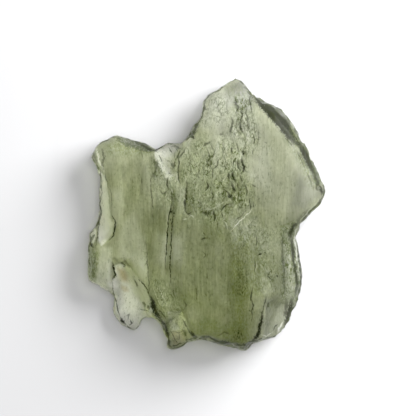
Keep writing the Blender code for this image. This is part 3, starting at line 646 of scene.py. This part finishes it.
# Which way the parts of the stone turn, from where a part begins to where it is full:
# 0 is level and 1 straight up, or straight down for the underside.
turned = {
    "upper": (0.15, 0.45),
    "under": (0.15, 0.5),
    "side": (0.45, 0.85),  # the other way, 1 is level and 0 straight up or down
    "marked": (0.02, 0.15),  # where marks of the upper face show
    "sloping": (0.05, 0.2),  # where frosted slopes are free of chips
    "rimmed": (0.02, 0.2),  # where the rim's painted shade shows
}

# the steep step beside the lobe, which is eased into a soft slope
lobeWall = {
    "rounds": 170,  # of smoothing
    "outline": [  # in the photograph's pixels
        (124, 258), (134, 260), (146, 274), (154, 292), (155, 306), (145, 307), (134, 294), (124, 274)],
}


def finishedMesh(obj):
    graph = bpy.context.evaluated_depsgraph_get()
    mesh = bpy.data.meshes.new_from_object(obj.evaluated_get(graph))
    bpy.data.objects.remove(obj)
    return mesh


def readArray(layer, name, width):
    values = np.empty(len(layer) * width)
    layer.foreach_get(name, values)
    return values.reshape(-1, width)


def smoothMesh(mesh, rounds, rows=None):
    bm = bmesh.new()
    bm.from_mesh(mesh)
    bm.verts.ensure_lookup_table()
    verts = bm.verts if rows is None else [bm.verts[row] for row in rows]
    everyWay = {"use_axis_x": True, "use_axis_y": True, "use_axis_z": True}
    for _ in range(rounds):
        bmesh.ops.smooth_vert(bm, verts=verts, factor=0.5, **everyWay)
    bm.to_mesh(mesh)
    bm.free()


# the solid's own shape with a fine even surface
def fineSkin(node):
    bm = bmesh.new()
    bm.from_mesh(node.data)
    bmesh.ops.remove_doubles(bm, verts=bm.verts, dist=0.001 * mm)
    mesh = bpy.data.meshes.new("rough")
    bm.to_mesh(mesh)
    bm.free()
    rough = placed("rough", mesh)
    skin = rough.modifiers.new("Skin", "REMESH")
    skin.mode = "VOXEL"
    skin.voxel_size = stone["cell"] * mm
    mesh = finishedMesh(rough)
    smoothMesh(mesh, stone["evenRounds"])
    return coarserBelow(mesh)


# fewer faces on the sides and the underside
def coarserBelow(mesh):
    obj = placed("rough", mesh)
    below = obj.vertex_groups.new(name="below")
    normals = readArray(mesh.vertex_normals, "vector", 3)
    below.add(np.nonzero(normals[:, 2] < stone["coarse"])[0].tolist(), 1.0, "REPLACE")
    thin = obj.modifiers.new("Thin", "DECIMATE")
    thin.ratio = stone["kept"]
    thin.vertex_group = "below"
    return finishedMesh(obj)


def easeWall(mesh):
    points = readArray(mesh.vertices, "co", 3) / mm
    up = readArray(mesh.vertex_normals, "vector", 3)[:, 2]
    inWall = insideOf(inPicture(points), lobeWall["outline"]) & (up > 0.0)
    smoothMesh(mesh, lobeWall["rounds"], np.nonzero(inWall)[0].tolist())


# how far each point is from the stone's sides, seen from above, in mm
def rimGap(points, rise):
    sides = points[np.abs(rise) < stone["steep"], :2].tolist()
    tree = treeOf([(x, y, 0.0) for x, y in sides])
    return np.array([tree.find((x, y, 0.0))[2] for x, y in points[:, :2].tolist()])


# where the points are in the picture, a little astray, so that lines aren't ruled
def strayed(points):
    size, reach = stone["wander"]
    pixel = shot["frameWidth"] / shot["pixels"]
    stray = [unevenness(points, size, shift) * reach / pixel * 2.0 for shift in (3.7, 11.3)]  # x and y
    return inPicture(points) + np.column_stack(stray)


# fine winding wrinkles, which break off here and there
def squiggles(points):
    width, length = stone["squiggle"]
    over, far = stone["winding"]
    bends = [unevenness(points, over, shift) for shift in (5.1, 8.3)]
    bend = np.column_stack([*bends, np.zeros(len(points))])
    flat = points * (1.0, 1.0, 0.5) + bend * far
    thread = np.exp(-(unevenness(flat, (width, length, 1.0)) / stone["thin"]) ** 2)
    return thread * smooth(-0.05, 0.25, unevenness(points, stone["broken"], 21.0))


def makeStone():
    mesh = fineSkin(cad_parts["moldavite"])
    easeWall(mesh)
    print("stone's surface made:", len(mesh.vertices), "points")
    points = readArray(mesh.vertices, "co", 3) / mm
    normals = readArray(mesh.vertex_normals, "vector", 3)
    rise = normals[:, 2]
    upper = smooth(*turned["upper"], rise)
    under = smooth(*turned["under"], -rise)
    side = smooth(*turned["side"], 1.0 - np.abs(rise))
    marked = smooth(*turned["marked"], rise)
    rim = rimGap(points, rise)
    seen = strayed(points)
    drawn, gaps = paintLines(seen)
    laid = paintPatches(seen)
    print("stone's lines and patches read")

    unfrosted = 1.0 - np.clip(laid["frost"], 0.0, 1.0)
    side = side * np.maximum(unfrosted, 1.0 - smooth(*turned["sloping"], rise))
    dark, pale = [drawn[name] * np.exp(-gaps[name] ** 2) for name in ("dark", "pale")]
    squiggle = squiggles(points) * laid["wrinkle"]
    lineShare, wrinkleShare = stone["furrowShares"]
    dark = np.maximum(lineShare * dark, wrinkleShare * squiggle)
    calm = 1.0 - stone["calming"] * np.clip(laid["bare"], 0.0, 1.0)
    width, length, high = stone["flow"]
    flow = unevenness(points, (width, length, 2.0))
    flow = flow + 0.5 * unevenness(points, (width / 2.3, length / 2.0, 1.0))
    relief = upper * (flow * high * calm - stone["furrow"] * dark + stone["ridge"] * pale)
    size, high = stone["grain"]
    relief += high * unevenness(points, size) * (calm * upper + 1.0 - upper)
    size, high = stone["bumps"]
    relief += upper * laid["wrinkle"] * high * unevenness(points, size, 2.0)
    size, deep = stone["chips"]
    relief += side * deep * (stone["cupRidge"] - cupDepth(points * (1.0, 1.0, 0.6), size))
    size, deep = stone["cups"]
    clear = smooth(*stone["clear"], points[:, 2])
    relief += under * clear * deep * (stone["cupRidge"] - cupDepth(points, size))
    points = points + normals * relief[:, None]
    points[:, 2] = np.maximum(points[:, 2], 0.0)
    mesh.vertices.foreach_set("co", (points * mm).ravel())
    mesh.polygons.foreach_set("use_smooth", [True] * len(mesh.polygons))
    print("stone's furrows, wrinkles and chips cut")

    # painted shade along the outline, where the glass turns down
    edge = np.exp(-(rim / stone["rim"]) ** 2) * smooth(*turned["rimmed"], rise)
    shade, change, size = stone["rimShade"]
    edge = edge * (shade + change * unevenness(points, size, 31.0))
    # painted shade: darker where the surface is cut in, on the sides and underneath, and along the rim
    hollow = np.clip(-relief / stone["hollow"], 0.0, 1.0)
    onSide, below = stone["hollowShade"]
    hollow = onSide * side * hollow * unfrosted + below * under * hollow + edge
    hollow = hollow - stone["paleShade"] * drawn["pale"]
    # painted highlight on the crests of the sides and the underside
    paintedCrestLight = np.clip(relief / stone["paintedCrestLight"], 0.0, 1.0)
    marks = {
        "above": smooth(-0.3, 0.3, rise),
        "dark": drawn["dark"] * marked,
        "darkGap": gaps["dark"],
        "pale": drawn["pale"] * marked,
        "paleGap": gaps["pale"],
        "hollow": np.clip(hollow, 0.0, 1.0),
        "paintedCrestLight": np.clip(stone["crestLightShare"] * paintedCrestLight * (side + under), 0.0, 1.0),
        "tint": np.clip(0.5 + 0.5 * laid["tint"] * marked, 0.0, 1.0),  # 0.5 is no tint
        "frost": np.clip(laid["frost"] * marked, 0.0, 1.0),
        "stain": np.clip(laid["stain"] * marked, 0.0, 1.0),
        "hazeAndShade": np.clip(laid["hazeAndShade"] * marked, 0.0, 1.6),
        "wrinkle": np.clip(laid["wrinkle"] * upper + 0.5 * side + 0.4 * under, 0.0, 1.0),
    }
    for name, values in marks.items():
        layer = mesh.attributes.new(name, "FLOAT", "POINT")
        layer.data.foreach_set("value", values)
    mesh.update()
    return placed("stone", mesh)


glass = {
    "ior": 1.49,
    "transmission": 0.90,
    "density": 122.0,  # per metre
    "throughColour": (0.49, 0.53, 0.12),
    "clear": (0.50, 0.51, 0.40),
    "veil": (0.36, 0.37, 0.265),
    "belowClear": (0.99, 0.99, 0.95),
    "belowVeil": (0.90, 0.93, 0.80),
    # pale of the frosted lines, flecks and lighter patches, and of the painted highlight on crests
    "pale": (0.97, 0.96, 0.95),
    "worn": (0.90, 0.98, 0.76),
    "frost": (0.99, 0.98, 1.0),
    "stain": (0.52, 0.42, 0.27),
    # grey that darkens the green: a greyer tone, and painted shade where it takes off the key lamp's glare
    "hazeAndShade": (0.52, 0.51, 0.60),
    # painted shade of the dark lines and of the darkest bevels
    "line": (0.004, 0.005, 0.0015),
    "shade": (0.05, 0.07, 0.012),
    # the colour of the painted shade in the hollows and along the rim
    "paintedHollowColour": (0.024, 0.032, 0.008),
    "moss": (0.46, 0.50, 0.27),
    # painted shade of the steep bevels, which look dark through the glass
    "paintedBevelShade": (0.04, 0.055, 0.005),
    "shine": (0.04, 0.04, 0.04),
    "rough": (0.38, 0.6),  # where it's smooth and where it's frosted
    "bump": (0.6, 0.08),  # share, and mm
    "bumpShares": (0.5, 0.5, 0.6),  # of the fine streaks, the grain and the creases
    "uneven": 0.06,  # how much the roughness varies either way
    "noise": {"Scale": 1.0, "Detail": 3.0, "Roughness": 0.55},
    # mm, width and length of the streaks, and a shift that sets one kind off from another
    "streaks": {
        "fine": (0.22, 2.6, 0.0),
        "broad": (1.1, 9.0, 4.0),
        "grain": (0.28, 0.4, 9.0),
        "thread": (0.42, 0.78, 15.0),
        "scratch": (0.40, 2.4, 22.0),
        "speck": (0.15, 0.30, 33.0),
        "lull": (1.2, 2.0, 41.0),  # where there are fewer creases
        "fleck": (0.24, 0.5, 50.0),
        "cloud": (1.6, 2.4, 60.0),
    },
    # between which values of a streak something begins and is full, and how much of it there is then
    "clearAbove": (0.35, 0.62, 1.0),
    "clearBelow": (0.3, 0.7, 1.0),
    "shading": {"broad": (0.35, 0.7, 0.2), "cloud": (0.35, 0.65, 0.22), "grain": (0.3, 0.75, 0.3)},
    "hatching": (0.42, 0.62, 0.4),
    "flecks": (0.54, 0.66, 0.45),
    "scratches": (0.4, 0.6, 0.45),
    # the same for the marks on the stone
    # the painted shade of the hollows and the rim
    "hollows": (0.2, 0.6, 1.0),
    "deeperHazeAndShade": (1.1, 1.6, 0.8),
    "wear": 0.22,  # how much the wrinkled parts are worn paler
    "paintedHollowShare": 0.8,  # how much of the hollows' painted shade there is
    # how thin lines are, from full to their edges
    "creaseWidth": (0.013, 0.048),
    "scratchWidth": (0.0, 0.02),
    "inkWidth": (0.55, 1.15),  # in a drawn line's own half widths
    "inkCrumbs": 0.85,  # how far its edge strays, in the same measure
    "inkFull": 0.95,  # the darkness at which its ink is full
    # how a tint's colour is laid on, and the same again: a patch's tint counts half here
    "tinting": {
        "moss": ("MULTIPLY", 0.0, 0.25, 1.0),
        # the strongest tints, on the bevels, are painted shade
        "paintedBevelShade": ("MULTIPLY", 0.28, 0.42, 1.0),
        "line": ("MIX", 0.44, 0.58, 0.9),
    },
}


# a colour seen through another, by this amount
def stained(tree, amount, colour, tone):
    return mixed(tree, amount, colour, tone, "MULTIPLY")


def maths(tree, operation, first, second=None):
    node = tree.nodes.new("ShaderNodeMath")
    node.operation = operation
    for value, socket in zip((first, second), node.inputs):
        if isinstance(value, (int, float)):
            socket.default_value = value
        elif value is not None:
            link(tree, value, socket)
    return node.outputs["Value"]


# light through a stained surface is dimmed only by the stain's square root, so it's laid on twice
def deeper(tree, amount):
    left = maths(tree, "SUBTRACT", 1.0, amount)
    return maths(tree, "SUBTRACT", 1.0, maths(tree, "MULTIPLY", left, left))


def ranged(tree, value, low, high, newLow, newHigh):
    node = tree.nodes.new("ShaderNodeMapRange")
    link(tree, value, node.inputs["Value"])
    for name, number in zip(("From Min", "From Max", "To Min", "To Max"), (low, high, newLow, newHigh)):
        node.inputs[name].default_value = number
    return node.outputs["Result"]


# from nothing to the full amount between two values
def rising(tree, value, limits):
    low, high, amount = limits
    return ranged(tree, value, low, high, 0.0, amount)


# a drawn line, thin and sharp, with a crumbly edge
def inked(tree, name, speck):
    crumbs = glass["inkCrumbs"]
    gap = maths(tree, "ABSOLUTE", mask(tree, name + "Gap"))
    gap = maths(tree, "ADD", gap, ranged(tree, speck, 0.3, 0.7, -crumbs, crumbs))
    ink = maths(tree, "MULTIPLY", mask(tree, name), ranged(tree, gap, *glass["inkWidth"], 1.0, 0.0))
    return rising(tree, ink, (0.0, glass["inkFull"], 1.0))


# noise drawn out along the stone, in mm
def streaks(tree, width, length, shift):
    where = tree.nodes.new("ShaderNodeTexCoord")
    mapping = tree.nodes.new("ShaderNodeMapping")
    mapping.inputs["Scale"].default_value = (1.0 / (width * mm), 1.0 / (length * mm), 1.0 / (width * mm))
    mapping.inputs["Location"].default_value = (shift, shift * 1.7, shift * 0.6)
    link(tree, where.outputs["Object"], mapping.inputs["Vector"])
    texture = tree.nodes.new("ShaderNodeTexNoise")
    for name, number in glass["noise"].items():
        texture.inputs[name].default_value = number
    link(tree, mapping.outputs["Vector"], texture.inputs["Vector"])
    return texture.outputs["Fac"]


# the middle of a noise's range, which runs as thin lines
def thinLines(tree, texture, width):
    middle = maths(tree, "ABSOLUTE", maths(tree, "SUBTRACT", texture, 0.5))
    return ranged(tree, middle, *width, 1.0, 0.0)


# the glass without any marks, lighter underneath, where the paper's light comes in
def plainColour(tree, marks):
    above = rising(tree, marks["fine"], glass["clearAbove"])
    above = mixed(tree, above, glass["veil"], glass["clear"])
    beneath = rising(tree, marks["fine"], glass["clearBelow"])
    beneath = mixed(tree, beneath, glass["belowVeil"], glass["belowClear"])
    colour = mixed(tree, mask(tree, "above"), beneath, above)
    for name, limits in glass["shading"].items():
        colour = mixed(tree, rising(tree, marks[name], limits), colour, glass["shade"])
    return colour


def markedColour(tree, marks, frost, crease):
    grain, speck, wrinkle = marks["grain"], marks["speck"], mask(tree, "wrinkle")
    colour = mixed(tree, frost, plainColour(tree, marks), glass["frost"])
    tint = maths(tree, "SUBTRACT", mask(tree, "tint"), 0.5)
    colour = mixed(tree, ranged(tree, tint, 0.0, -0.5, 0.0, 1.0), colour, glass["pale"])
    colour = mixed(tree, mask(tree, "stain"), colour, glass["stain"])
    tint = maths(tree, "MULTIPLY", tint, ranged(tree, speck, 0.35, 0.65, 0.65, 1.35))
    for name, (blend, *limits) in glass["tinting"].items():
        colour = mixed(tree, rising(tree, tint, limits), colour, glass[name], blend)

    colour = mixed(tree, maths(tree, "MULTIPLY", wrinkle, glass["wear"]), colour, glass["worn"])
    # painted shade in the thin creases of the wrinkled skin
    colour = mixed(tree, deeper(tree, crease), colour, glass["shade"])
    hatch = maths(tree, "MULTIPLY", rising(tree, speck, glass["hatching"]), wrinkle)
    colour = mixed(tree, deeper(tree, hatch), colour, glass["shade"])
    fleck = maths(tree, "MULTIPLY", rising(tree, marks["fleck"], glass["flecks"]), wrinkle)
    colour = mixed(tree, fleck, colour, glass["pale"])
    scratch = thinLines(tree, marks["scratch"], glass["scratchWidth"])
    scratch = maths(tree, "MULTIPLY", scratch, rising(tree, grain, glass["scratches"]))
    colour = mixed(tree, deeper(tree, scratch), colour, glass["shade"])

    # painted shade, and a greyer tone, where there is haze
    hazeAndShade = maths(tree, "MULTIPLY", mask(tree, "hazeAndShade"), ranged(tree, grain, 0.3, 0.7, 1.2, 0.8))
    hazeAndShade = maths(tree, "MULTIPLY", hazeAndShade, ranged(tree, tint, 0.2, 0.4, 1.0, 0.0))  # none where it's darkest
    colour = stained(tree, hazeAndShade, colour, glass["hazeAndShade"])
    colour = stained(tree, rising(tree, hazeAndShade, glass["deeperHazeAndShade"]), colour, glass["hazeAndShade"])

    colour = mixed(tree, inked(tree, "pale", speck), colour, glass["pale"])
    # painted shade along the dark lines
    colour = mixed(tree, deeper(tree, inked(tree, "dark", speck)), colour, glass["line"])
    # painted highlight on the crests
    colour = mixed(tree, mask(tree, "paintedCrestLight"), colour, glass["pale"])
    # painted shade in the hollows and along the rim
    hollow = maths(tree, "ADD", mask(tree, "hollow"), ranged(tree, speck, 0.3, 0.7, -0.2, 0.2))
    hollow = maths(tree, "MULTIPLY", rising(tree, hollow, glass["hollows"]), glass["paintedHollowShare"])
    return mixed(tree, deeper(tree, hollow), colour, glass["paintedHollowColour"])


def makeGlass():
    material = bpy.data.materials.new("moldaviteGlass")
    material.use_nodes = True
    tree = material.node_tree
    shader = tree.nodes["Principled BSDF"]
    shader.inputs["IOR"].default_value = glass["ior"]
    shader.inputs["Transmission Weight"].default_value = glass["transmission"]
    shader.inputs["Specular Tint"].default_value = (*glass["shine"], 1.0)

    marks = {name: streaks(tree, *size) for name, size in glass["streaks"].items()}
    # the creases: thin lines that are bumped in and painted with shade
    crease = thinLines(tree, marks["thread"], glass["creaseWidth"])
    crease = maths(tree, "MULTIPLY", crease, mask(tree, "wrinkle"))
    crease = maths(tree, "MULTIPLY", crease, ranged(tree, marks["lull"], 0.42, 0.58, 0.1, 1.0))
    frost = maths(tree, "MULTIPLY", mask(tree, "frost"), ranged(tree, marks["grain"], 0.25, 0.6, 1.0, 0.7))
    link(tree, markedColour(tree, marks, frost, crease), shader.inputs["Base Color"])

    rough = ranged(tree, frost, 0.0, 1.0, *glass["rough"])
    uneven = ranged(tree, marks["fine"], 0.3, 0.7, -glass["uneven"], glass["uneven"])
    rough = maths(tree, "ADD", rough, uneven)
    link(tree, rough, shader.inputs["Roughness"])

    fineShare, grainShare, creaseShare = glass["bumpShares"]
    height = maths(tree, "MULTIPLY", marks["fine"], fineShare)
    height = maths(tree, "ADD", height, maths(tree, "MULTIPLY", marks["grain"], grainShare))
    height = maths(tree, "SUBTRACT", height, maths(tree, "MULTIPLY", crease, creaseShare))
    bump = tree.nodes.new("ShaderNodeBump")
    share, distance = glass["bump"]
    bump.inputs["Strength"].default_value = share
    bump.inputs["Distance"].default_value = distance * mm
    link(tree, height, bump.inputs["Height"])
    link(tree, bump.outputs["Normal"], shader.inputs["Normal"])

    depth = tree.nodes.new("ShaderNodeVolumeAbsorption")
    depth.inputs["Color"].default_value = (*glass["throughColour"], 1.0)
    depth.inputs["Density"].default_value = glass["density"]
    link(tree, depth.outputs["Volume"], tree.nodes["Material Output"].inputs["Volume"])
    return material


stoneObject = makeStone()
stoneObject.data.materials.clear()
stoneObject.data.materials.append(makeGlass())
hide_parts("moldavite")
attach(stoneObject, "root")
print("stone finished")
